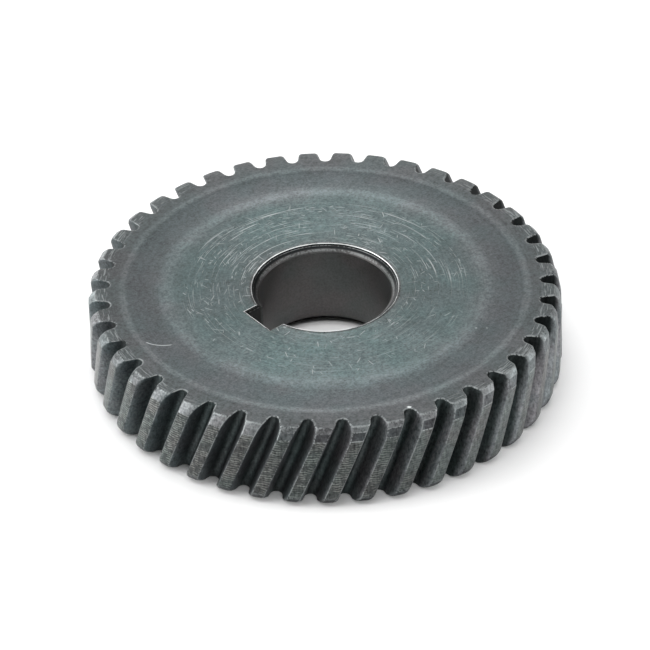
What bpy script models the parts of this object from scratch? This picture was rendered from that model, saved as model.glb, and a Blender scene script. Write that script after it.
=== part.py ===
"""A helical gear: one steel wheel with involute teeth, a chamfered bore and a keyway.

Metres, +Z up. The axis is Z, the lower face lies in the plane Z = 0, and the keyway
points along -X.
"""

from math import acos, atan, atan2, cos, hypot, pi, radians, sin, tan

import bmesh
import bpy
from mathutils import Matrix

MM = 0.001

# Tooth system: an involute rack, shifted outwards so that the teeth are strong.
TEETH = 41
NORMAL_MODULE = 1.25 * MM
HELIX_ANGLE = radians(20)  # right-hand: a tooth climbs counter-clockwise, seen from above
NORMAL_PRESSURE_ANGLE = radians(14.5)
PROFILE_SHIFT = 0.46  # in modules; it thickens the teeth
ADDENDUM = 1.0 * NORMAL_MODULE
DEDENDUM = 1.05 * NORMAL_MODULE
FILLET_RADIUS = 0.70 * MM  # the root of a gap is one arc from flank to flank
FILLET_SWEEP = radians(78)  # of the arc either side of the gap's middle

# Blank.
FACE_WIDTH = 11.3 * MM
TOP_CHAMFER = (0.8 * MM, 1.6 * MM)  # radial, axial
BOTTOM_CHAMFER = (1.0 * MM, 1.2 * MM)
GAP_ANGLE_AT_TOP = radians(50.85)  # the middle of one tooth gap in the upper face

# Bore and keyway.
BORE_RADIUS = 8.0 * MM
BORE_CHAMFER = 0.8 * MM
KEYWAY_WIDTH = 5.0 * MM
KEYWAY_FLOOR_RADIUS = 10.5 * MM

# Facets.
FILLET_STEPS = 3
FLANK_STEPS = 3
BODY_SLICES = 3
BORE_SEGMENTS = 72
CUTTER_OVERRUN = 3.0 * MM

# What the tooth system works out to in the transverse plane.
PITCH_RADIUS = TEETH * NORMAL_MODULE / cos(HELIX_ANGLE) / 2
TRANSVERSE_PRESSURE_ANGLE = atan(tan(NORMAL_PRESSURE_ANGLE) / cos(HELIX_ANGLE))
BASE_RADIUS = PITCH_RADIUS * cos(TRANSVERSE_PRESSURE_ANGLE)
TIP_RADIUS = PITCH_RADIUS + ADDENDUM
ROOT_RADIUS = PITCH_RADIUS - DEDENDUM
TWIST_PER_METRE = tan(HELIX_ANGLE) / PITCH_RADIUS
PITCH_ANGLE = 2 * pi / TEETH


def involute(angle):
    return tan(angle) - angle


def half_tooth_angle(radius):
    """Half of a tooth's width, as an angle about the axis, where its flank is at this radius."""
    at_pitch = (pi / 2 + 2 * PROFILE_SHIFT * tan(NORMAL_PRESSURE_ANGLE)) / TEETH
    flank = involute(acos(min(1.0, BASE_RADIUS / radius)))
    return at_pitch + involute(TRANSVERSE_PRESSURE_ANGLE) - flank


def gap_profile(tip_radius):
    """One gap and the tooth after it, as (angle from the gap's middle, radius) points.

    Every profile has the same number of points, whatever its tip radius.
    """
    rising = []
    middle = ROOT_RADIUS + FILLET_RADIUS
    for step in range(1, FILLET_STEPS + 1):
        sweep = FILLET_SWEEP * step / FILLET_STEPS
        x, y = FILLET_RADIUS * sin(sweep), middle - FILLET_RADIUS * cos(sweep)
        rising.append((atan2(x, y), hypot(x, y)))
    start = rising[-1][1]
    for step in range(1, FLANK_STEPS + 1):
        radius = start + (tip_radius - start) * step / FLANK_STEPS
        rising.append((PITCH_ANGLE / 2 - half_tooth_angle(radius), radius))
    falling = [(-angle, radius) for angle, radius in reversed(rising)]
    return falling + [(0.0, ROOT_RADIUS)] + rising + [(PITCH_ANGLE / 2, tip_radius)]


def slices():
    """(height, tip radius) from the lower face to the upper one."""
    first, last = BOTTOM_CHAMFER[1], FACE_WIDTH - TOP_CHAMFER[1]
    found = [(0.0, TIP_RADIUS - BOTTOM_CHAMFER[0])]
    for step in range(BODY_SLICES + 1):
        found.append((first + (last - first) * step / BODY_SLICES, TIP_RADIUS))
    found.append((FACE_WIDTH, TIP_RADIUS - TOP_CHAMFER[0]))
    return found


def ring_points(height, tip_radius):
    turn = GAP_ANGLE_AT_TOP + (height - FACE_WIDTH) * TWIST_PER_METRE
    points = []
    for tooth in range(TEETH):
        for angle, radius in gap_profile(tip_radius):
            whole = turn + tooth * PITCH_ANGLE + angle
            points.append((radius * cos(whole), radius * sin(whole), height))
    return points


def toothed_blank():
    """The gear without its bore, as a loft from slice to slice."""
    bm = bmesh.new()
    rings = [
        [bm.verts.new(point) for point in ring_points(height, tip_radius)]
        for height, tip_radius in slices()
    ]
    count = len(rings[0])
    for lower, upper in zip(rings, rings[1:]):
        for i in range(count):
            j = (i + 1) % count
            bm.faces.new((lower[i], lower[j], upper[j], upper[i]))
    bm.faces.new(tuple(reversed(rings[0])))
    bm.faces.new(tuple(rings[-1]))
    bmesh.ops.recalc_face_normals(bm, faces=bm.faces)
    mesh = bpy.data.meshes.new("helical_gear")
    bm.to_mesh(mesh)
    bm.free()
    return mesh


def new_collection(name):
    collection = bpy.data.collections.new(name)
    bpy.context.scene.collection.children.link(collection)
    return collection


def steel():
    material = bpy.data.materials.new("dark_steel")
    material.use_nodes = True
    shader = material.node_tree.nodes["Principled BSDF"]
    shader.inputs["Base Color"].default_value = (0.155, 0.175, 0.18, 1)
    shader.inputs["Metallic"].default_value = 1.0
    shader.inputs["Roughness"].default_value = 0.5
    return material


def as_cutter(obj, cutters):
    obj.hide_render = True
    obj.display_type = "WIRE"
    cutters.objects.link(obj)
    return obj


def bore_cutter(cutters):
    """A turned plug: the bore, and a cone at each mouth that cuts its chamfer."""
    flare = BORE_CHAMFER + CUTTER_OVERRUN
    profile = [
        (0.0, FACE_WIDTH + CUTTER_OVERRUN),
        (BORE_RADIUS + flare, FACE_WIDTH + CUTTER_OVERRUN),
        (BORE_RADIUS, FACE_WIDTH - BORE_CHAMFER),
        (BORE_RADIUS, BORE_CHAMFER),
        (BORE_RADIUS + flare, -CUTTER_OVERRUN),
        (0.0, -CUTTER_OVERRUN),
    ]
    bm = bmesh.new()
    verts = [bm.verts.new((radius, 0.0, height)) for radius, height in profile]
    for a, b in zip(verts, verts[1:]):
        bm.edges.new((a, b))
    mesh = bpy.data.meshes.new("bore_cutter")
    bm.to_mesh(mesh)
    bm.free()
    cutter = as_cutter(bpy.data.objects.new("bore_cutter", mesh), cutters)
    screw = cutter.modifiers.new("turn", "SCREW")
    screw.axis = "Z"
    screw.steps = BORE_SEGMENTS
    screw.render_steps = BORE_SEGMENTS
    screw.use_merge_vertices = True
    screw.merge_threshold = 0.00001
    return cutter


def keyway_cutter(cutters):
    """A bar along -X from the axis to the keyway's floor, longer than the gear is wide."""
    bm = bmesh.new()
    bmesh.ops.create_cube(bm, size=1.0)
    length = FACE_WIDTH + 2 * CUTTER_OVERRUN
    bmesh.ops.scale(bm, vec=(KEYWAY_FLOOR_RADIUS, KEYWAY_WIDTH, length), verts=bm.verts)
    middle = Matrix.Translation((-KEYWAY_FLOOR_RADIUS / 2, 0.0, FACE_WIDTH / 2))
    bmesh.ops.transform(bm, matrix=middle, verts=bm.verts)
    mesh = bpy.data.meshes.new("keyway_cutter")
    bm.to_mesh(mesh)
    bm.free()
    return as_cutter(bpy.data.objects.new("keyway_cutter", mesh), cutters)


def cut(obj, cutter):
    boolean = obj.modifiers.new(cutter.name, "BOOLEAN")
    boolean.operation = "DIFFERENCE"
    boolean.solver = "EXACT"
    boolean.object = cutter


def helical_gear(parts, cutters):
    gear = bpy.data.objects.new("helical_gear", toothed_blank())
    gear.data.shade_smooth()
    gear.data.set_sharp_from_angle(angle=radians(20))
    gear.data.materials.append(steel())
    parts.objects.link(gear)
    cut(gear, bore_cutter(cutters))
    cut(gear, keyway_cutter(cutters))
    return gear


def main():
    for obj in list(bpy.data.objects):
        bpy.data.objects.remove(obj, do_unlink=True)
    helical_gear(new_collection("helical_gear_parts"), new_collection("cutters"))


main()
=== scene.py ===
"""The looks of a helical gear: one dark steel wheel on a white table.

Metres, +Z up. The gear's axis is Z, its lower face lies on Z = 0 and its keyway points along -X.
"""

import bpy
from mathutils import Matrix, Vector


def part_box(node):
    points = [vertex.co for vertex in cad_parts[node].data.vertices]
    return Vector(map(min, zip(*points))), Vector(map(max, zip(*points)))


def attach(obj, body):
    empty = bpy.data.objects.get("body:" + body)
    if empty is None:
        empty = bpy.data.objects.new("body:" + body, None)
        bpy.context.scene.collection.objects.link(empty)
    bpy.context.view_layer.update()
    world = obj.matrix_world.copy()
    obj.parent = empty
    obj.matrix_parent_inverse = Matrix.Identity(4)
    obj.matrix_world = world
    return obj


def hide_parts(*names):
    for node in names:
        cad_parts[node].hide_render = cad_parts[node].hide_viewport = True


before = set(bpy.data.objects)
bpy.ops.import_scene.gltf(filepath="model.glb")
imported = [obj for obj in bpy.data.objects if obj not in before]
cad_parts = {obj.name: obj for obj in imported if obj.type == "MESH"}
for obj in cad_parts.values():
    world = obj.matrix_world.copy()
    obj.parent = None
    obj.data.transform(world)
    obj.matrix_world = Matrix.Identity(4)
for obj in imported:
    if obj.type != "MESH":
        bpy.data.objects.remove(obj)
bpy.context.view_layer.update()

from math import acos, asin, atan, atan2, cos, hypot, pi, radians, sin, tan
from types import SimpleNamespace

import bpy
from mathutils import Matrix, Vector, noise

MM = 0.001
NODE = "helical_gear"
LOW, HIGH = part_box(NODE)
CENTRE = Vector(((LOW.x + HIGH.x) / 2, (LOW.y + HIGH.y) / 2, LOW.z))
FACE_WIDTH = HIGH.z - LOW.z
CAMERA_AZIMUTH = radians(-38.5)  # the camera looks along +Y turned by this
FRONT = (sin(CAMERA_AZIMUTH), -cos(CAMERA_AZIMUTH))  # from the axis towards the camera
RIGHT = (cos(CAMERA_AZIMUTH), sin(CAMERA_AZIMUTH))  # to the camera's right

# Tooth system, as in the CAD: 41 teeth of normal module 1.25, right-hand helix of 20 degrees.
TEETH = 41
PITCH_ANGLE = 2 * pi / TEETH
NORMAL_MODULE = 1.25 * MM
HELIX_ANGLE = radians(20)
NORMAL_PRESSURE_ANGLE = radians(14.5)
PROFILE_SHIFT = 0.46
DEDENDUM = 1.05 * NORMAL_MODULE
PITCH_RADIUS = TEETH * NORMAL_MODULE / cos(HELIX_ANGLE) / 2
TRANSVERSE_PRESSURE_ANGLE = atan(tan(NORMAL_PRESSURE_ANGLE) / cos(HELIX_ANGLE))
BASE_RADIUS = PITCH_RADIUS * cos(TRANSVERSE_PRESSURE_ANGLE)
TIP_RADIUS = PITCH_RADIUS + NORMAL_MODULE
ROOT_RADIUS = PITCH_RADIUS - DEDENDUM
TWIST_PER_METRE = tan(HELIX_ANGLE) / PITCH_RADIUS
GAP_ANGLE_AT_TOP = radians(50.85)
FILLET_RADIUS = 0.70 * MM
FILLET_SWEEP = radians(78)

# Bore and keyway.
BORE_RADIUS = 8.0 * MM
KEYWAY_HALF_WIDTH = 2.5 * MM
KEYWAY_FLOOR = 10.5 * MM
KEYWAY_ANGLE = pi

# Mesh density, per tooth and along the body.
FILLET_STEPS = 5
FLANK_STEPS = 5
BODY_ROWS = 12
BORE_WALL_ROWS = 4
SHARP_ANGLE = radians(32)  # edges bent more than this are shaded sharp

# The tables of rows and rings below are in millimetres. A row's wear is 0 where it is as made
# and 1 where it is worn. Above 1 it is bare metal with a painted glint, and below 0 it is
# painted dark as shade.

# The upper ends of the teeth, from the face down: depth, tip radius, inset of the outline, wear,
# tip break (how far the corner between a flank and the land is rounded off) and runout share.
TOP_END_ROWS = (
    (0.00, 27.72, 0.22, 0.0, 0.20, 0.0),
    (0.00, 27.72, 0.07, 0.6, 0.26, 0.0),
    (0.07, 27.74, 0.00, 1.0, 0.28, 0.0),
    (0.17, 27.84, 0.00, 0.3, 0.24, 0.0),
    (0.46, 28.15, 0.00, 0.1, 0.22, 0.1),
    (0.53, 28.21, 0.00, 0.6, 0.22, 0.15),
    (0.62, 28.24, 0.00, 0.0, 0.20, 0.2),
    (1.52, 28.47, 0.00, 0.0, 0.18, 0.95),
    (1.60, 28.51, 0.00, 0.9, 0.16, 1.0),
    (1.70, 28.52, 0.00, 0.0, 0.14, 1.0),
)
# The same for the lower ends, from the lower face up.
BOTTOM_END_ROWS = (
    (0.00, 27.42, 0.34, 0.0, 0.30, 0.0),
    (0.00, 27.42, 0.14, 0.0, 0.45, 0.0),
    (0.06, 27.56, 0.04, 0.1, 0.50, 0.0),
    (0.18, 27.78, 0.00, 0.0, 0.50, 0.0),
    (0.42, 28.06, 0.00, 0.0, 0.42, 0.0),
    (0.74, 28.30, 0.00, 0.0, 0.34, 0.0),
    (1.02, 28.43, 0.00, 0.1, 0.28, 0.0),
    (1.22, 28.49, 0.00, 0.4, 0.22, 0.0),
    (1.44, 28.52, 0.00, 0.1, 0.16, 0.0),
)
BODY_TIP_BREAK = 0.12 * MM
# The two points that round the corner between a flank and the land, in shares of the tip
# break: how far along the land, how far in from it, and the zone (see half_gap).
TIP_ROUNDING = ((0.3, 0.3, 0.5), (1.1, 0.0, 1.0))
# The upper chamfer was turned off centre, so it reaches lower on one side, the camera's right.
RUNOUT = 0.5 * MM
RUNOUT_ANGLE = radians(-38.5)

# Rings of the two faces, outermost first: radius and height against the face.
TOP_RINGS = (
    (25.3, 0.0), (24.9, -0.01), (24.4, 0.0), (23.9, -0.03), (23.3, -0.05), (22.0, -0.05),
    (20.8, -0.05), (20.1, -0.03), (19.3, 0.0), (18.5, 0.0), (17.5, -0.02), (15.5, -0.02),
    (13.8, -0.02), (12.6, -0.01),
)
BOTTOM_RINGS = ((25.3, 0.0), (24.0, 0.04), (21.0, 0.04), (19.5, 0.0), (16.0, 0.0), (12.6, 0.0))
# How near to the last circle the rings between it and the bore's outline are.
RING_BLENDS = (0.66, 0.38, 0.18, 0.08)

# Down the bore: depth under the upper face, radius, wear and how far it clears the keyway's
# walls. The chamfer was cut in several bites and left a bright burr; the burr carries a painted
# glint, and the dark bands are painted shade.
BORE_ROWS = (
    (0.00, 8.94, 0.3, 0.05),
    (-0.03, 8.89, 2.0, 0.03),
    (0.02, 8.84, 1.8, 0.0),
    (0.07, 8.81, -1.0, 0.0),
    (0.15, 8.73, -0.8, 0.0),
    (0.18, 8.68, 0.7, 0.0),
    (0.22, 8.65, 0.4, 0.0),
    (0.26, 8.60, -0.8, 0.0),
    (0.40, 8.40, -0.5, 0.0),
    (0.45, 8.33, 0.4, 0.0),
    (0.62, 8.14, 0.35, 0.0),
    (0.70, 8.06, -0.4, 0.0),
    (0.78, 8.00, -0.2, 0.0),
    (1.10, 8.00, 0.0, 0.0),
)
# The same for the bore's foot, but with the height over the lower face first.
BORE_FOOT_ROWS = (
    (1.05, 8.0, 0.0, 0.0),
    (0.96, 8.04, -0.3, 0.0),
    (0.06, 8.86, 0.2, 0.0),
    (0.0, 8.92, 0.8, 0.05),
)

# Worn edges are dented: how deep, how long the dents are, the seed that the bore starts from and
# how far a unit of seed moves the noise.
DENT_DEPTH = 0.03 * MM
TOOTH_DENT_LENGTH = 0.7 * MM
BORE_DENT_LENGTH = 0.8 * MM
BORE_SEED = 3
SEED_STEP = 7.3 * MM


def involute(angle):
    return tan(angle) - angle


def half_tooth_angle(radius):
    """Half the angle that a tooth takes up at this radius."""
    at_pitch = (pi / 2 + 2 * PROFILE_SHIFT * tan(NORMAL_PRESSURE_ANGLE)) / TEETH
    flank = involute(acos(min(1.0, BASE_RADIUS / radius)))
    return at_pitch + involute(TRANSVERSE_PRESSURE_ANGLE) - flank


def half_gap(tip_radius, tip_break):
    """Half a gap and half the tooth after it, as (angle from the gap's middle, radius, zone).

    The zone is 0 in the gap, and 1 on the land.
    """
    points = []
    middle = ROOT_RADIUS + FILLET_RADIUS
    for step in range(1, FILLET_STEPS + 1):
        sweep = FILLET_SWEEP * step / FILLET_STEPS
        x, y = FILLET_RADIUS * sin(sweep), middle - FILLET_RADIUS * cos(sweep)
        points.append((atan2(x, y), hypot(x, y), 0.0))
    start, end = points[-1][1], tip_radius - tip_break
    for step in range(1, FLANK_STEPS + 1):
        radius = start + (end - start) * step / FLANK_STEPS
        points.append((PITCH_ANGLE / 2 - half_tooth_angle(radius), radius, 0.0))
    corner = PITCH_ANGLE / 2 - half_tooth_angle(tip_radius)
    for along, inwards, zone in TIP_ROUNDING:
        angle = corner + along * tip_break / tip_radius
        points.append((angle, tip_radius - inwards * tip_break, zone))
    return points


def gap_profile(tip_radius, tip_break):
    """One gap and the tooth after it. Every profile has the same number of points."""
    rising = half_gap(tip_radius, tip_break)
    falling = [(-angle, radius, zone) for angle, radius, zone in reversed(rising)]
    land = [(PITCH_ANGLE / 2, tip_radius, 1.0)]
    return falling + [(0.0, ROOT_RADIUS, 0.0)] + rising + land


def turn_at(height):
    """The angle of the first gap's middle at this height, along the helix."""
    return GAP_ANGLE_AT_TOP + (height - FACE_WIDTH) * TWIST_PER_METRE


def tooth_outline(height, tip_radius, inset=0.0, tip_break=BODY_TIP_BREAK):
    """The toothed outline at this height as (angle, radius, zone), pulled in by inset."""
    polar = []
    for tooth in range(TEETH):
        start = turn_at(height) + tooth * PITCH_ANGLE
        for angle, radius, zone in gap_profile(tip_radius, tip_break):
            polar.append((start + angle, radius, zone))
    if not inset:
        return polar
    flat = [(radius * cos(angle), radius * sin(angle)) for angle, radius, _ in polar]
    pulled = []
    for i, (angle, _, zone) in enumerate(polar):
        (ax, ay), (bx, by) = flat[i - 1], flat[(i + 1) % len(flat)]
        length = hypot(bx - ax, by - ay)
        x = flat[i][0] - (by - ay) / length * inset
        y = flat[i][1] + (bx - ax) / length * inset
        off = (atan2(y, x) - angle + pi) % (2 * pi) - pi
        pulled.append((angle + off, hypot(x, y), zone))
    return pulled


COLUMNS = len(tooth_outline(0.0, TIP_RADIUS))
SNAP_SPREAD = COLUMNS // 24  # the columns beside the keyway that take up its corners' moves
BORE_ANGLES = [angle for angle, _, _ in tooth_outline(FACE_WIDTH / 2, TIP_RADIUS)]


def keyway_radius(angle, clear):
    """How far from the axis the keyway, this much wider, reaches at this angle, or 0 outside it."""
    off = (angle - KEYWAY_ANGLE + pi) % (2 * pi) - pi
    if abs(off) > pi / 4:  # the keyway is far narrower than this
        return 0.0
    floor = (KEYWAY_FLOOR + clear) / cos(off)
    return min(floor, (KEYWAY_HALF_WIDTH + clear) / abs(sin(off))) if off else floor


def snapped_angles(bore_radius, clear):
    """The bore's column angles, moved a little so that four of them meet the keyway's corners."""
    mouth = asin((KEYWAY_HALF_WIDTH + clear) / bore_radius)
    foot = atan2(KEYWAY_HALF_WIDTH + clear, KEYWAY_FLOOR + clear)
    mouth_at = asin(KEYWAY_HALF_WIDTH / BORE_RADIUS)
    foot_at = atan2(KEYWAY_HALF_WIDTH, KEYWAY_FLOOR)
    corners = ((-mouth, -mouth_at), (-foot, -foot_at), (foot, foot_at), (mouth, mouth_at))
    anchors = []
    for wanted, column_at in corners:
        offs = [(a - KEYWAY_ANGLE - column_at + pi) % (2 * pi) - pi for a in BORE_ANGLES]
        column = min(range(COLUMNS), key=lambda i: abs(offs[i]))
        anchors.append((column, wanted - column_at - offs[column]))
    before, after = anchors[0][0] - SNAP_SPREAD, anchors[-1][0] + SNAP_SPREAD
    anchors = [(before, 0.0)] + anchors + [(after, 0.0)]
    angles = list(BORE_ANGLES)
    for (a, shift_a), (b, shift_b) in zip(anchors, anchors[1:]):
        for i in range(a, b + 1):
            share = (i - a) / (b - a)
            angles[i % COLUMNS] = BORE_ANGLES[i % COLUMNS] + shift_a + (shift_b - shift_a) * share
    return angles


def bore_outline(radius, clear):
    """The bore at this radius with its keyway, as (angle, distance from the axis) per column."""
    angles = snapped_angles(radius, clear)
    return [(angle, max(radius, keyway_radius(angle, clear))) for angle in angles]


class Rows:
    """The rows of the closed grid: one ring of points and their attributes for each."""

    def __init__(self):
        self.points, self.wear, self.land, self.bore, self.face = [], [], [], [], []

    def add(self, ring, wear=0.0, land=None, bore=0.0, face=0.0):
        """ring holds (angle, radius, height) for every column."""
        for angle, radius, height in ring:
            x, y = radius * cos(angle), radius * sin(angle)
            self.points.append((CENTRE.x + x, CENTRE.y + y, CENTRE.z + height))
        self.wear += [wear] * COLUMNS
        self.land += land or [0.0] * COLUMNS
        self.bore += [bore] * COLUMNS
        self.face += [face] * COLUMNS

    def count(self):
        return len(self.points) // COLUMNS


def rough(angle, radius, size, seed):
    """Smooth noise between about -1 and 1 round the gear, with waves about this size."""
    place = Vector((radius * cos(angle), radius * sin(angle), seed * SEED_STEP)) / size
    return noise.noise(place)


def add_tooth_row(rows, height, tip_radius, inset, wear, tip_break, runout):
    """One row round the teeth, dented where it is worn and lower on the side of the runout."""
    ring, land = [], []
    for angle, radius, zone in tooth_outline(height, tip_radius, inset, tip_break):
        drop = runout * RUNOUT * cos(angle - RUNOUT_ANGLE)
        dent = DENT_DEPTH * wear * rough(angle, radius, TOOTH_DENT_LENGTH, height / MM)
        ring.append((angle - drop * TWIST_PER_METRE, radius + dent, height - drop))
        land.append(zone)
    rows.add(ring, wear, land, face=1.0 if inset else 0.0)


def add_outer_rows(rows):
    """From the lower face up to the upper one."""
    for depth, radius, inset, wear, tip_break, runout in BOTTOM_END_ROWS:
        add_tooth_row(rows, depth * MM, radius * MM, inset * MM, wear, tip_break * MM, runout)
    first, last = BOTTOM_END_ROWS[-1][0] * MM, FACE_WIDTH - TOP_END_ROWS[-1][0] * MM
    for step in range(1, BODY_ROWS):
        share = step / BODY_ROWS
        height = first + (last - first) * share
        add_tooth_row(rows, height, TIP_RADIUS, 0.0, 0.0, BODY_TIP_BREAK, share)
    for depth, radius, inset, wear, tip_break, runout in reversed(TOP_END_ROWS):
        add_tooth_row(rows, FACE_WIDTH - depth * MM, radius * MM, inset * MM, wear,
                      tip_break * MM, runout)


def face_rings(height, rings, lip_radius, clear):
    """The rings of one face from the teeth inwards, each (angle, radius, height) per column."""
    columns = [(outer, inner, reach) for (outer, _, _), (inner, reach)
               in zip(tooth_outline(height, TIP_RADIUS), bore_outline(lip_radius, clear))]
    outermost, circle = rings[0][0] * MM, rings[-1][0] * MM

    def share_at(radius):
        """How far inwards this radius is, from 0 at the outermost ring to 1 at the lip."""
        return (outermost - radius) / (outermost - lip_radius)

    found = []
    for radius, relief in rings:
        share = share_at(radius * MM)
        found.append([(outer + (inner - outer) * share, radius * MM, height + relief * MM)
                      for outer, inner, _ in columns])
    for outwards in RING_BLENDS:
        share = 1 - (1 - share_at(circle)) * outwards
        found.append([(outer + (inner - outer) * share, reach + (circle - reach) * outwards, height)
                      for outer, inner, reach in columns])
    return found


def add_bore_row(rows, height, radius, wear, clear=0.0):
    """One row round the bore and its keyway, dented where it is worn."""
    ring = []
    for angle, reach in bore_outline(radius, clear):
        wave = rough(angle, reach, BORE_DENT_LENGTH, BORE_SEED + height / MM)
        ring.append((angle, reach + DENT_DEPTH * min(abs(wear), 1.0) * wave, height))
    rows.add(ring, wear, bore=1.0)


def add_inner_rows(rows):
    """Over the upper face, down the bore and out over the lower face."""
    _, lip, _, clear = BORE_ROWS[0]
    for ring in face_rings(FACE_WIDTH, TOP_RINGS, lip * MM, clear * MM):
        rows.add(ring, face=1.0)
    for depth, radius, wear, clear in BORE_ROWS:
        add_bore_row(rows, FACE_WIDTH - depth * MM, radius * MM, wear, clear * MM)
    first, last = FACE_WIDTH - BORE_ROWS[-1][0] * MM, BORE_FOOT_ROWS[0][0] * MM
    for step in range(1, BORE_WALL_ROWS):
        add_bore_row(rows, first + (last - first) * step / BORE_WALL_ROWS, BORE_RADIUS, 0.0)
    for height, radius, wear, clear in BORE_FOOT_ROWS:
        add_bore_row(rows, height * MM, radius * MM, wear, clear * MM)
    _, lip, _, clear = BORE_FOOT_ROWS[-1]
    for ring in reversed(face_rings(0.0, BOTTOM_RINGS, lip * MM, clear * MM)):
        rows.add(ring, face=1.0)


def grid_faces(row_count):
    """Quads from each row to the next, and from the last one back to the first."""
    faces = []
    for row in range(row_count):
        a, b = row * COLUMNS, (row + 1) % row_count * COLUMNS
        for i in range(COLUMNS):
            j = (i + 1) % COLUMNS
            faces.append((a + i, a + j, b + j, b + i))
    return faces


def gear_body():
    """The gear as one closed mesh, with the attributes that its steel reads."""
    rows = Rows()
    add_outer_rows(rows)
    add_inner_rows(rows)
    mesh = bpy.data.meshes.new("helical_gear_body")
    mesh.from_pydata(rows.points, [], grid_faces(rows.count()))
    for name, values in (("edge_wear", rows.wear), ("land", rows.land), ("bore", rows.bore),
                         ("face", rows.face)):
        mesh.attributes.new(name, "FLOAT", "POINT").data.foreach_set("value", values)
    mesh.shade_smooth()
    mesh.set_sharp_from_angle(angle=SHARP_ANGLE)
    gear = bpy.data.objects.new("helical_gear_body", mesh)
    bpy.context.scene.collection.objects.link(gear)
    return gear


class Field:
    """A node's output that arithmetic works on, so that a material reads like a formula."""

    def __init__(self, tree, socket):
        self.tree, self.socket = tree, socket

    def math(self, operation, *others):
        node = self.tree.nodes.new("ShaderNodeMath")
        node.operation = operation
        for socket, value in zip(node.inputs, (self, *others)):
            plug(self.tree, socket, value)
        return Field(self.tree, node.outputs[0])

    def __add__(self, other):
        return self.math("ADD", other)

    def __sub__(self, other):
        return self.math("SUBTRACT", other)

    def __mul__(self, other):
        return self.math("MULTIPLY", other)

    def __truediv__(self, other):
        return self.math("DIVIDE", other)

    def most(self, other):
        return self.math("MAXIMUM", other)

    def above(self, other):
        return self.math("GREATER_THAN", other)

    def size(self):
        return self.math("ABSOLUTE")

    def inverse(self):
        return (self * -1.0) + 1.0

    def ramp(self, start, end, low=0.0, high=1.0):
        """Runs smoothly from low, at start, to high, at end."""
        node = self.tree.nodes.new("ShaderNodeMapRange")
        node.interpolation_type = "SMOOTHSTEP"
        for name, value in (("Value", self), ("From Min", start), ("From Max", end),
                            ("To Min", low), ("To Max", high)):
            plug(self.tree, node.inputs[name], value)
        return Field(self.tree, node.outputs["Result"])

    def band(self, middle, half_width):
        """1 at middle, falling smoothly to 0 at half_width either side of it."""
        return (self - middle).size().ramp(0.0, half_width, 1.0, 0.0)


def plug(tree, socket, value):
    if isinstance(value, Field):
        tree.links.new(value.socket, socket)
    else:
        socket.default_value = value


def attribute(tree, name):
    node = tree.nodes.new("ShaderNodeAttribute")
    node.attribute_name = name
    return Field(tree, node.outputs["Fac"])


def vector(tree, x, y, z):
    node = tree.nodes.new("ShaderNodeCombineXYZ")
    for socket, value in zip(node.inputs, (x, y, z)):
        plug(tree, socket, value)
    return Field(tree, node.outputs[0])


def parts_of(tree, value):
    node = tree.nodes.new("ShaderNodeSeparateXYZ")
    plug(tree, node.inputs[0], value)
    return [Field(tree, socket) for socket in node.outputs]


def vector_math(tree, operation, *values):
    node = tree.nodes.new("ShaderNodeVectorMath")
    node.operation = operation
    for socket, value in zip(node.inputs, values):
        plug(tree, socket, value)
    return Field(tree, node.outputs[0])


def grain(tree, place, size, seed, detail=2.0):
    """Noise from 0 to 1 whose lumps are about this size, in metres."""
    moved = vector_math(tree, "MULTIPLY_ADD", place, (1 / size,) * 3, (seed,) * 3)
    node = tree.nodes.new("ShaderNodeTexNoise")
    plug(tree, node.inputs["Vector"], moved)
    node.inputs["Scale"].default_value = 1.0
    node.inputs["Detail"].default_value = detail
    return Field(tree, node.outputs[0])


def blend(tree, share, low, high):
    """The colour low where share is 0, and high where it is 1."""
    node = tree.nodes.new("ShaderNodeMix")
    node.data_type = "RGBA"
    plug(tree, node.inputs["Factor"], share)
    for socket, colour in zip([s for s in node.inputs if s.type == "RGBA"], (low, high)):
        plug(tree, socket, colour)
    return Field(tree, [s for s in node.outputs if s.type == "RGBA"][0])


def scaled(tree, colour, amount):
    node = tree.nodes.new("ShaderNodeVectorMath")
    node.operation = "SCALE"
    plug(tree, node.inputs[0], colour)
    plug(tree, node.inputs["Scale"], amount)
    return Field(tree, node.outputs[0])


# The faces' tone from the axis outwards: how far out, as a share of the tip radius, and the
# colour there before TONE_SCALE. Light and dark rings; the light rings at 0.675 to 0.697 and
# 0.848 to 0.862 are painted highlights on the edges of the faces' shallow relief.
RING_TONES = (
    (0.300, (0.165, 0.212, 0.212)),
    (0.360, (0.138, 0.192, 0.192)),
    (0.450, (0.142, 0.204, 0.205)),
    (0.600, (0.142, 0.202, 0.203)),
    (0.635, (0.164, 0.217, 0.219)),
    (0.675, (0.215, 0.262, 0.268)),
    (0.697, (0.190, 0.230, 0.238)),
    (0.720, (0.140, 0.166, 0.172)),
    (0.770, (0.121, 0.145, 0.152)),
    (0.834, (0.121, 0.146, 0.152)),
    (0.848, (0.186, 0.217, 0.222)),
    (0.862, (0.182, 0.211, 0.216)),
    (0.876, (0.126, 0.145, 0.149)),
    (0.930, (0.124, 0.141, 0.144)),
    (0.970, (0.142, 0.160, 0.162)),
)
TONE_SCALE = 1 / 2.2  # from the listed tones to the steel's own

# Tones of the teeth. Left and right are the camera's.
LAND_TONE = (0.048, 0.053, 0.052, 1)
HATCH_TONE = (0.122, 0.133, 0.125, 1)
PLAIN_LAND_TONE = (0.088, 0.096, 0.095, 1)  # where the hatching fades
# The upper facet's tone also paints light onto the flanks low down at the far left.
UPPER_FACET_AND_LIT_FLANK_TONE = (0.120, 0.131, 0.133, 1)
# The dark facet tone is painted shade, for the facets that face away from the light.
SHADED_FACET_TONE = (0.042, 0.046, 0.048, 1)
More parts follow.
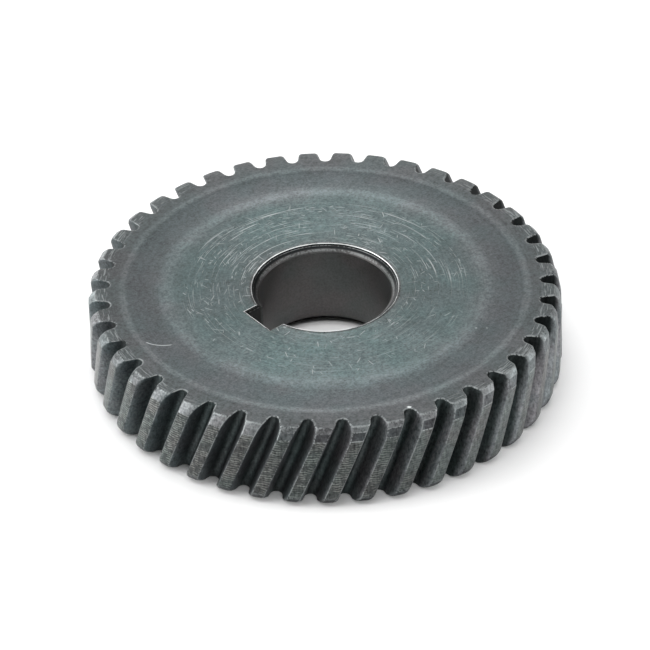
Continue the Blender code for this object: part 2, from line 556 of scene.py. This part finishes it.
# Between the teeth the tones are painted shade and light: shaded roots, darkest at the sides, a
# shaded flank on the camera's left, and a lit flank on the front and right.
SHADED_ROOT_TONE = (0.045, 0.055, 0.055, 1)
SHADED_SIDE_ROOT_TONE = (0.010, 0.012, 0.012, 1)
SHADED_LEFT_FLANK_TONE = (0.047, 0.056, 0.058, 1)
LIT_FLANK_TONE = (0.116, 0.123, 0.127, 1)

# Tones of the bore and of worn metal, and the tints that drift over the whole gear.
BORE_TONE = (0.094, 0.096, 0.094)
WORN_TONE = (0.29, 0.31, 0.31, 1)
# Bare metal also stands for the painted glint on the bore's burr; the groove tone is painted shade
# in the bore's chamfers.
BARE_METAL_AND_GLINT_TONE = (0.85, 0.87, 0.87, 1)
GROOVE_SHADE_TONE = (0.012, 0.014, 0.015, 1)
COOL_TINT = (0.97, 1.005, 1.005, 1)
WARM_TINT = (1.06, 0.985, 1.0, 1)

# Where one tone runs into the next, as two radii. The bore's chamfer counts as keyway here.
BORE_TO_KEYWAY = (8.1 * MM, 8.5 * MM)
HUB_TO_ANNULUS = (16.6 * MM, 17.8 * MM)
FACE_TO_TOOTH_ENDS = (25.9 * MM, 26.6 * MM)
ROOT_TO_FLANK = (26.0 * MM, 26.7 * MM)
UPPER_TO_LOWER_FACET = (28.14 * MM, 28.24 * MM)
FACET_TO_LAND = (28.44 * MM, 28.51 * MM)

HATCH_PITCH = 0.34 * MM
GLINT = (-0.916, -0.401)  # the direction in which the upper chamfer carries a painted glint
SHADE_REACH = 1.6 * MM  # how much further out the roots' painted shade reaches on the right
TOP_EDGE_DEPTH = 0.12 * MM  # how far down the upper face's edge counts as exposed
BUMP_STRENGTH = 0.35
BUMP_DEPTH = 0.04 * MM

# Bright nicks in the upper face: x and y in millimetres, size across, light. Light above 1 is
# bare metal.
NICKS = (
    (-7.4, -24.75, 0.65, 1.4),
    (-8.5, 2.75, 0.55, 1.2),
    (-8.7, -3.1, 0.5, 0.7),
    (8.6, -18.0, 0.35, 0.7),
    (9.6, -18.8, 0.3, 0.6),
    (-3.8, -25.6, 0.3, 0.9),
)
# A bowed scratch: the part of a circle that lies within reach of its middle.
BOW_CENTRE = (-19.6 * MM, 6.4 * MM)
BOW_RADIUS = 3.75 * MM
BOW_MIDDLE = (-22.45 * MM, 3.9 * MM)
BOW_REACH = 1.75 * MM
BOW_HALF_WIDTH = 0.12 * MM
BOW_LIGHT = 1.1


def ring_colours(tree, share):
    """The faces' tone at this share of the tip radius."""
    node = tree.nodes.new("ShaderNodeValToRGB")
    stops = node.color_ramp.elements
    while len(stops) > 1:
        stops.remove(stops[0])
    for i, (at, colour) in enumerate(RING_TONES):
        stop = stops[0] if i == 0 else stops.new(at)
        stop.position = at
        stop.color = (*[c * TONE_SCALE for c in colour], 1)
    plug(tree, node.inputs[0], share)
    return Field(tree, node.outputs[0])


def surface_values(tree):
    """What the steel's parts need to know about a point, as fields.

    cloud and grit are noise from 0 to 1, in soft patches and in fine grains.
    """
    coordinates = tree.nodes.new("ShaderNodeTexCoord")
    at = SimpleNamespace(place=Field(tree, coordinates.outputs["Object"]))
    at.x, at.y, at.z = parts_of(tree, at.place)
    at.radius = (at.x * at.x + at.y * at.y).math("SQRT")
    at.around_x, at.around_y = at.x / at.radius, at.y / at.radius
    at.front = at.around_x * FRONT[0] + at.around_y * FRONT[1]
    at.right = at.around_x * RIGHT[0] + at.around_y * RIGHT[1]
    at.wear, at.land, at.bore, at.face = (
        attribute(tree, name) for name in ("edge_wear", "land", "bore", "face"))
    at.upper = at.z.above(FACE_WIDTH / 2)
    at.hub = at.radius.ramp(*HUB_TO_ANNULUS, 1.0, 0.0)
    at.cloud = grain(tree, at.place, size=3.5 * MM, seed=1.7, detail=3.0)
    at.grit = grain(tree, at.place, size=0.24 * MM, seed=5.3)
    return at


def scratches(tree, place, cell, length, width, share, seed, bend):
    """Short marks, bent a little, in some of the cells of a grid, each turned its own way."""
    moved = vector_math(tree, "MULTIPLY_ADD", place, (1 / cell,) * 3, (seed, -seed, 0.0))
    x, y, _ = parts_of(tree, moved)
    flat = vector(tree, x, y, 0.0)
    voronoi = tree.nodes.new("ShaderNodeTexVoronoi")
    voronoi.voronoi_dimensions = "2D"
    plug(tree, voronoi.inputs["Vector"], flat)
    voronoi.inputs["Scale"].default_value = 1.0
    local = vector_math(tree, "SUBTRACT", flat, Field(tree, voronoi.outputs["Position"]))
    colour = tree.nodes.new("ShaderNodeSeparateColor")
    tree.links.new(voronoi.outputs["Color"], colour.inputs[0])
    chance, turn, weight = [Field(tree, socket) for socket in colour.outputs]
    rotate = tree.nodes.new("ShaderNodeVectorRotate")
    rotate.rotation_type = "Z_AXIS"
    plug(tree, rotate.inputs["Vector"], local)
    plug(tree, rotate.inputs["Angle"], turn * (2 * pi))
    along, across, _ = parts_of(tree, Field(tree, rotate.outputs[0]))
    across = across + along * along * bend
    line = across.size().ramp(0.2 * width / cell, width / cell, 1.0, 0.0)
    line = line * along.size().ramp(0.25 * length / cell, 0.5 * length / cell, 1.0, 0.0)
    return line * chance.math("LESS_THAN", share) * weight.ramp(0.0, 1.0, 0.4, 1.0)


def round_marks(tree, at, length, pitch, seed, detail=1.0):
    """Noise drawn out round the axis, from 0 to 1: marks this long, in radians, and this far
    apart."""
    turns = 1 / length
    drawn = vector(tree, at.around_x * turns, at.around_y * turns, at.radius / pitch)
    return grain(tree, drawn, size=1.0, seed=seed, detail=detail)


def distance_to(at, x, y):
    """How far the point is from this place, seen from above."""
    off_x, off_y = at.x - x, at.y - y
    return (off_x * off_x + off_y * off_y).math("SQRT")


def placed_marks(at):
    """The bowed scratch and the nicks, which have their own places."""
    bow = distance_to(at, *BOW_CENTRE).band(BOW_RADIUS, BOW_HALF_WIDTH)
    found = bow * distance_to(at, *BOW_MIDDLE).ramp(0.8 * BOW_REACH, BOW_REACH, BOW_LIGHT, 0.0)
    for x, y, size, light in NICKS:
        away = distance_to(at, x * MM, y * MM) + (at.grit - 0.5) * 0.5 * MM
        found = found.most(away.ramp(0.2 * size * MM, 0.5 * size * MM, light, 0.0))
    return found * at.upper


def hub_arcs(tree, at, cluster):
    """Fine arcs round the hub, strongest behind the bore."""
    long = round_marks(tree, at, length=0.40, pitch=0.13 * MM, seed=3.1).ramp(0.62, 0.71)
    short = round_marks(tree, at, length=0.12, pitch=0.12 * MM, seed=9.6).ramp(0.66, 0.74)
    behind = at.front.ramp(0.3, -0.5, 0.35, 1.0)
    return long.most(short) * at.hub * behind * cluster.ramp(0.36, 0.52, 0.25, 1.0)


def short_scratches(tree, at, cluster):
    """Clusters of short scratches, nearly all on the hub, and a few longer ones apart."""
    short = scratches(tree, at.place, cell=1.9 * MM, length=1.3 * MM, width=0.085 * MM,
                      share=0.6, seed=11.3, bend=0.2)
    tiny = scratches(tree, at.place, cell=1.3 * MM, length=0.6 * MM, width=0.08 * MM,
                     share=0.5, seed=4.9, bend=0.2)
    lone = scratches(tree, at.place, cell=5.0 * MM, length=1.6 * MM, width=0.06 * MM,
                     share=0.5, seed=21.7, bend=0.4)
    grouped = short.most(tiny) * cluster.ramp(0.42, 0.53) * at.hub.ramp(0.0, 1.0, 0.06, 1.0)
    return grouped.most(lone * at.hub * 0.6)


def face_marks(tree, at):
    """All the light marks on the turned faces."""
    cluster = grain(tree, at.place, size=4.5 * MM, seed=6.1, detail=1.0)
    strokes = round_marks(tree, at, length=0.06, pitch=0.15 * MM, seed=44.0)
    strokes = strokes.ramp(0.52, 0.66, 0.0, 0.5) * at.right.size().ramp(0.35, 0.75)
    strokes = strokes * at.radius.ramp(*FACE_TO_TOOTH_ENDS)
    marks = hub_arcs(tree, at, cluster).most(short_scratches(tree, at, cluster)).most(strokes)
    return (marks * 0.85).most(placed_marks(at)) * at.face


def face_tone(tree, at):
    """The turned faces: uneven rings under a painted sheen, lighter towards the front and back."""
    smear = round_marks(tree, at, length=0.22, pitch=2.2 * MM, seed=14.2, detail=2.0)
    share = (at.radius + (smear - 0.5) * 0.5 * MM) / TIP_RADIUS
    # Painted reflection: the turned faces' sheen, lighter at the front and the back, a little
    # darker at the rim's front and on the camera's left.
    painted_sheen = at.front * at.front * 0.39 + at.front * 0.10 + 0.89
    painted_sheen = painted_sheen - at.front.ramp(0.4, 1.0) * share.ramp(0.78, 0.82) * 0.15
    painted_sheen = painted_sheen * at.right.ramp(-0.9, -0.2, 0.94, 1.0)
    turned = round_marks(tree, at, length=0.3, pitch=0.12 * MM, seed=8.7)
    flecks = grain(tree, at.place, size=0.5 * MM, seed=7.7, detail=1.0)
    uneven = (smear - 0.5) * 0.35 + (flecks - 0.5) * 0.8 + (at.grit - 0.5) * 1.3
    uneven = (turned - 0.5) * 0.35 + uneven
    return scaled(tree, ring_colours(tree, share), painted_sheen * (uneven + 1.0))


def hatching(tree, at):
    """Fine broken lines round the lands, from 0 to 1."""
    around = vector(tree, at.around_x * 30.0, at.around_y * 30.0, at.z / (0.9 * MM))
    wobble = grain(tree, around, size=1.0, seed=2.2)
    wave = ((at.z / HATCH_PITCH + wobble * 1.6) * (2 * pi)).math("SINE")
    broken = grain(tree, at.place, size=0.9 * MM, seed=17.3, detail=1.0).ramp(0.36, 0.56)
    return wave.ramp(-0.7, 0.8) * broken


def facet_tone(tree, at):
    """The teeth's end chamfers. The upper one has a light facet above a facet of painted shade."""
    # Painted shade: the upper chamfer's lower facet is dark except towards the camera's left, and
    # the lower chamfers, which face down, are dark all round.
    dark_side = at.right.ramp(-0.45, 0.05) * at.right.ramp(0.45, 0.85, 1.0, 0.45)
    shaded_lower_facet = at.radius.ramp(*UPPER_TO_LOWER_FACET) * dark_side
    tone = blend(tree, shaded_lower_facet.most(at.upper.inverse()), UPPER_FACET_AND_LIT_FLANK_TONE, SHADED_FACET_TONE)
    # A painted glint on the upper chamfer, in one direction round the gear, in patches.
    glint = (at.around_x * GLINT[0] + at.around_y * GLINT[1]).ramp(0.965, 0.995)
    # Painted shade on the facets towards the camera's left.
    left_shade = at.right.band(-0.84, 0.24)
    return scaled(tree, tone, left_shade * -0.40 + glint * at.cloud.ramp(0.35, 0.6) * 0.2 + 0.95)


def land_tone(tree, at):
    """The lands and the chamfers, and how strong the hatch lines are. They fade to the sides."""
    depth = at.front.ramp(0.1, 0.7, 0.3, 1.0) * at.right.ramp(0.0, 0.6, 1.0, 0.45)
    on_land = at.radius.ramp(*FACET_TO_LAND)
    lines = hatching(tree, at) * on_land * depth
    plain = blend(tree, depth.ramp(0.3, 0.9), PLAIN_LAND_TONE, LAND_TONE)
    land = blend(tree, lines, plain, HATCH_TONE)
    return blend(tree, on_land, facet_tone(tree, at), land), lines


def gap_tone(tree, at):
    """Between the teeth, painted shade and light: shaded roots, and flanks lit low down at both
    sides.
    """
    # Painted shade: roots darkest at the sides, flanks darker on the camera's left.
    root = blend(tree, at.front.ramp(0.2, 0.8), SHADED_SIDE_ROOT_TONE, SHADED_ROOT_TONE)
    flank = blend(tree, at.right.ramp(-0.5, 0.3), SHADED_LEFT_FLANK_TONE, LIT_FLANK_TONE)
    well_down = at.z.ramp(FACE_WIDTH - 4.5 * MM, FACE_WIDTH - 1.5 * MM, 0.8, 0.0)
    lit = at.right.size().ramp(0.78, 0.95) * well_down
    reach = at.right.ramp(0.10, 0.75) * lit.inverse() * SHADE_REACH
    gap = blend(tree, (at.radius - reach).ramp(*ROOT_TO_FLANK), root, flank)
    # A painted shadow below the upper ends on the camera's right, and painted light on the flanks
    # low down at the far left.
    shadow = at.z.ramp(FACE_WIDTH - 7.0 * MM, FACE_WIDTH - 0.8 * MM) * at.right.ramp(0.3, 0.8)
    gap = scaled(tree, gap, shadow * -0.5 + 1.0)
    return blend(tree, lit * at.right.ramp(-0.1, 0.1, 0.7, 0.0), gap, UPPER_FACET_AND_LIT_FLANK_TONE)


def tooth_tone(tree, at):
    """The teeth and the gaps, painted lighter at the sides, and how strong the hatch lines are."""
    land, lines = land_tone(tree, at)
    tone = blend(tree, at.land, gap_tone(tree, at), land)
    # Painted light: the teeth are lighter towards the camera's sides, most on the left.
    painted_side_light = (at.front * at.front).inverse() * (at.right * -0.25 + 0.95) + 1.0
    flecks = grain(tree, at.place, size=0.45 * MM, seed=12.4, detail=1.0)
    streaks = grain(tree, vector(tree, at.x, at.y, at.z * 0.2), size=0.22 * MM, seed=3.3)
    uneven = (at.grit - 0.5) * 1.2 + (streaks - 0.5) * 1.3 + (flecks - 0.5) * 0.9
    return scaled(tree, tone, painted_side_light * (uneven + 1.0)), lines


def unworn_tone(tree, at):
    """The steel without its marks, and how strong the hatch lines are."""
    teeth, lines = tooth_tone(tree, at)
    tone = blend(tree, at.face, teeth, face_tone(tree, at))
    keyway = at.radius.ramp(*BORE_TO_KEYWAY, 1.0, 0.4)
    tone = blend(tree, at.bore, tone, scaled(tree, BORE_TONE, (at.grit * 0.8 + 0.6) * keyway))
    warmth = grain(tree, at.place, size=5.0 * MM, seed=31.0).ramp(0.35, 0.65)
    tone = vector_math(tree, "MULTIPLY", tone, blend(tree, warmth, COOL_TINT, WARM_TINT))
    return scaled(tree, tone, (at.cloud - 0.5) * 0.45 + 1.0), lines


def worn_tone(tree, at, tone, marks):
    """The tone with light marks and corners, a painted glint on the bore's burr, and painted shade.
    """
    # Light corners between flank and land: worn metal with a painted highlight on it, fainter
    # towards the camera's right.
    edge = at.land.band(0.5, 0.45) * (at.grit + at.cloud - 0.5).ramp(0.36, 0.60)
    edge = edge * at.face.inverse() * at.right.ramp(0.1, 0.8, 0.7, 0.3)
    chip = at.wear.math("MINIMUM", 1.0) * (at.grit * 1.6 + at.cloud * 1.2 - 0.9).ramp(0.25, 0.65)
    exposed = at.land.most(at.bore).most(at.z.above(FACE_WIDTH - TOP_EDGE_DEPTH))
    light = marks.most(edge).most(chip * exposed * 0.9)
    tone = blend(tree, light.math("MINIMUM", 1.0), tone, WORN_TONE)
    # The bore's bright burr: bare metal with a painted glint on it.
    burr = (at.wear - 1.0) * at.cloud.ramp(0.35, 0.6, 0.6, 1.1)
    tone = blend(tree, burr.most(marks - 1.0).ramp(0.0, 0.8), tone, BARE_METAL_AND_GLINT_TONE)
    # Dark bands of painted shade in the bore's chamfers.
    return blend(tree, (at.wear * -1.0).ramp(0.0, 0.8), tone, GROOVE_SHADE_TONE)


def roughness(at):
    """Uneven everywhere, and a little higher between the teeth."""
    between = at.face.most(at.land).most(at.bore).ramp(0.0, 1.0, 0.12, 0.0)
    return between + (at.cloud - 0.5) * 0.12 + 0.46 + (at.grit - 0.5) * 0.2


def add_bump(tree, shader, height):
    bump = tree.nodes.new("ShaderNodeBump")
    bump.inputs["Strength"].default_value = BUMP_STRENGTH
    bump.inputs["Distance"].default_value = BUMP_DEPTH
    plug(tree, bump.inputs["Height"], height)
    tree.links.new(bump.outputs["Normal"], shader.inputs["Normal"])


def steel():
    """The gear's dark oxide steel."""
    material = bpy.data.materials.new("dark_oxide_steel")
    material.use_nodes = True
    tree = material.node_tree
    shader = tree.nodes["Principled BSDF"]
    shader.inputs["Metallic"].default_value = 1.0
    at = surface_values(tree)
    tone, lines = unworn_tone(tree, at)
    marks = face_marks(tree, at)
    plug(tree, shader.inputs["Base Color"], worn_tone(tree, at, tone, marks))
    plug(tree, shader.inputs["Roughness"], roughness(at))
    add_bump(tree, shader, at.grit * 0.8 + lines * 0.5 * at.land - marks * 0.5)
    return material


# Camera: a long lens. Its elevation is over the table, and its roll is about its own axis.
CAMERA_ELEVATION = radians(37.04)
CAMERA_ROLL = radians(-1.12)
CAMERA_DISTANCE = 0.8685
CAMERA_LENS = 396.5  # millimetres
CAMERA_SLIDE = (-0.19 * MM, 4.6 * MM)  # to the right and upwards in the picture
CAMERA_DROP = 0.2 * MM


def add_camera():
    back = Vector((0, -cos(CAMERA_ELEVATION), sin(CAMERA_ELEVATION)))
    right = Vector((1, 0, 0))
    up = back.cross(right)
    side = right * cos(CAMERA_ROLL) + up * sin(CAMERA_ROLL)
    top = up * cos(CAMERA_ROLL) - right * sin(CAMERA_ROLL)
    place = back * CAMERA_DISTANCE + side * CAMERA_SLIDE[0] + top * CAMERA_SLIDE[1]
    place.z -= CAMERA_DROP
    data = bpy.data.cameras.new("camera")
    data.lens = CAMERA_LENS
    camera = bpy.data.objects.new("camera", data)
    bpy.context.scene.collection.objects.link(camera)
    axes = Matrix((side, top, back)).transposed().to_4x4()
    axes.translation = place
    camera.matrix_world = Matrix.Rotation(CAMERA_AZIMUTH, 4, "Z") @ axes
    bpy.context.scene.camera = camera


# Soft boxes all round, as in a light tent: name, degrees from the camera's side, height in
# degrees, width and height in metres, watts.
SOFT_BOXES = (
    ("top_box", 0, 89, (0.50, 0.50), 3.2),
    ("left_box", 272, 12, (0.45, 0.30), 3.0),
    ("left_high_box", 270, 50, (0.45, 0.45), 2.2),
    ("back_box", 190, 18, (0.80, 0.35), 4.6),
    ("front_box", 20, 18, (0.70, 0.35), 2.6),
    ("right_box", 90, 12, (0.45, 0.30), 2.0),
    ("right_high_box", 90, 50, (0.45, 0.45), 0.8),
    ("front_left_box", 318, 18, (0.45, 0.35), 0.7),
)
LIGHT_DISTANCE = 0.7
BORE_SPOT_POWER = 4.0
BORE_SPOT_SHARE = 0.98  # the beam's radius on the table, against the bore's
BORE_SPOT_FADE = 0.15
AMBIENT = 0.05


def add_soft_box(name, azimuth, elevation, size, power):
    """A soft box that faces the gear."""
    data = bpy.data.lights.new(name, "AREA")
    data.shape = "RECTANGLE"
    data.size, data.size_y = size
    data.energy = power
    light = bpy.data.objects.new(name, data)
    bpy.context.scene.collection.objects.link(light)
    turn = CAMERA_AZIMUTH - pi / 2 + radians(azimuth)
    rise = radians(elevation)
    towards = Vector((cos(turn) * cos(rise), sin(turn) * cos(rise), sin(rise)))
    light.location = towards * LIGHT_DISTANCE
    light.rotation_euler = towards.to_track_quat("Z", "Y").to_euler()


def add_bore_spot():
    """A narrow beam from above that lights only the patch of table inside the bore."""
    data = bpy.data.lights.new("bore_spot", "SPOT")
    data.energy = BORE_SPOT_POWER
    data.spot_size = 2 * atan(BORE_SPOT_SHARE * BORE_RADIUS / LIGHT_DISTANCE)
    data.spot_blend = BORE_SPOT_FADE
    data.shadow_soft_size = 0.0
    spot = bpy.data.objects.new("bore_spot", data)
    spot.location = (CENTRE.x, CENTRE.y, CENTRE.z + LIGHT_DISTANCE)
    bpy.context.scene.collection.objects.link(spot)


def add_lights():
    world = bpy.data.worlds.new("studio")
    world.use_nodes = True
    background = world.node_tree.nodes["Background"]
    background.inputs["Color"].default_value = (1, 1, 1, 1)
    background.inputs["Strength"].default_value = AMBIENT
    bpy.context.scene.world = world
    for soft_box in SOFT_BOXES:
        add_soft_box(*soft_box)
    add_bore_spot()


TABLE_HALF_WIDTH = 1.5
TABLE_GAP = 0.02 * MM
TABLE_TONE = (0.87, 0.87, 0.87, 1)
TABLE_ROUGHNESS = 0.9


def add_table():
    half = TABLE_HALF_WIDTH
    mesh = bpy.data.meshes.new("table")
    mesh.from_pydata([(-half, -half, 0), (half, -half, 0), (half, half, 0), (-half, half, 0)],
                     [], [(0, 1, 2, 3)])
    table = bpy.data.objects.new("table", mesh)
    table.location = (CENTRE.x, CENTRE.y, LOW.z - TABLE_GAP)
    bpy.context.scene.collection.objects.link(table)
    material = bpy.data.materials.new("white_table")
    material.use_nodes = True
    shader = material.node_tree.nodes["Principled BSDF"]
    shader.inputs["Base Color"].default_value = TABLE_TONE
    shader.inputs["Roughness"].default_value = TABLE_ROUGHNESS
    mesh.materials.append(material)


def main():
    bpy.context.scene.view_settings.view_transform = "Standard"
    gear = gear_body()
    gear.data.materials.append(steel())
    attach(gear, "root")
    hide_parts(NODE)
    add_table()
    add_lights()
    add_camera()


main()
